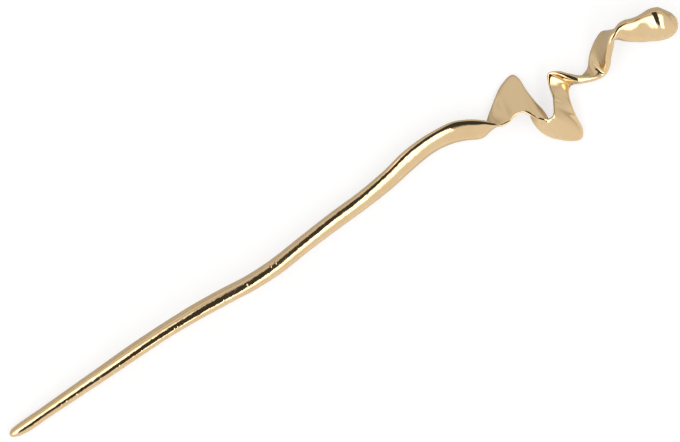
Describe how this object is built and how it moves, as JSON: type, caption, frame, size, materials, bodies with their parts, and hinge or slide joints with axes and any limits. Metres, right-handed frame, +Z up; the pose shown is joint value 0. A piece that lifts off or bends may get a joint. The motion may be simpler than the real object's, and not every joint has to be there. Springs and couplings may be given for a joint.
{
  "type": "hair stick",
  "caption": "Long hair stick of polished gold-tone metal: a gently waved round shank with a blunt tip, and a head twisted from a thick folded band that ends in a drop-shaped knob.",
  "frame": {"origin": "on the surface that the stick lies on, under the middle of its box", "axes": "+X along the stick from the blunt tip to the knob, +Y to the left of that, +Z up from the surface that it lies on"},
  "size_m": [0.1762, 0.0204, 0.0086],
  "materials": {
    "polished_gold": "cast brass, gold plated and polished to a soft mirror, with fine cross marks along the shank"
  },
  "bodies": {
    "root": {"hair_stick": "polished_gold"}
  },
  "joints": []
}
